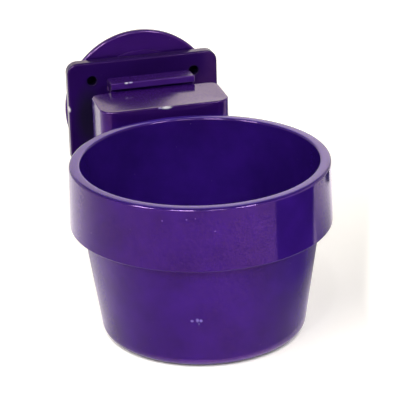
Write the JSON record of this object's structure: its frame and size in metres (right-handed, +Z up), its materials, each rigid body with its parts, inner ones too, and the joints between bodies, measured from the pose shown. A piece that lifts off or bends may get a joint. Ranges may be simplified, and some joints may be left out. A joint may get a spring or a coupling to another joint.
{
  "type": "cage feeding bowl",
  "caption": "Deep round feeding bowl that hangs by a hanger box on a wall bracket with a spring lock finger, held to cage wires by a bolted clamp disc.",
  "frame": {"origin": "middle of the bowl's flat base, where it stands on a table", "axes": "+Z up along the bowl's axis, +Y from the bowl back towards the bracket and the cage wall, +X to the right seen from the front"},
  "size_m": [0.1214, 0.214, 0.1073],
  "materials": {
    "bowl_plastic": "glossy moulded purple plastic with fine scuffs",
    "bracket_plastic": "glossy moulded deep purple plastic",
    "disc_plastic": "glossy moulded deep purple plastic",
    "zinc_steel": "bright zinc plating"
  },
  "bodies": {
    "bracket_body": {"bracket": "bracket_plastic", "hex_bolt": "zinc_steel"},
    "bowl_body": {"bowl": "bowl_plastic"},
    "finger_body": {"lock_finger": "bracket_plastic"},
    "disc_body": {"clamp_disc": "disc_plastic", "flat_washer": "zinc_steel"},
    "nut_body": {"wing_nut": "zinc_steel"}
  },
  "joints": [
    {"name": "bowl_lift", "type": "slide", "parent": "bracket_body", "child": "bowl_body", "axis": [0, 0, 1], "range_m": [0, 0.045]},
    {"name": "finger_flex", "type": "hinge", "parent": "bracket_body", "child": "finger_body", "pos_m": [0, 0.097, 0.0577], "axis": [-1, 0, 0], "range_deg": [0, 6], "stiffness_Nm_per_rad": 3},
    {"name": "disc_slide", "type": "slide", "parent": "bracket_body", "child": "disc_body", "axis": [0, 1, 0], "range_m": [0, 0.01]},
    {"name": "nut_spin", "type": "hinge", "parent": "disc_body", "child": "nut_body", "pos_m": [0, 0.1327, 0.0679], "axis": [0, 1, 0], "range_deg": [0, 3600]}
  ],
  "couplings": [
    {"joint": "nut_spin", "follows": "disc_slide", "rad_per_m": 6283.2}
  ]
}
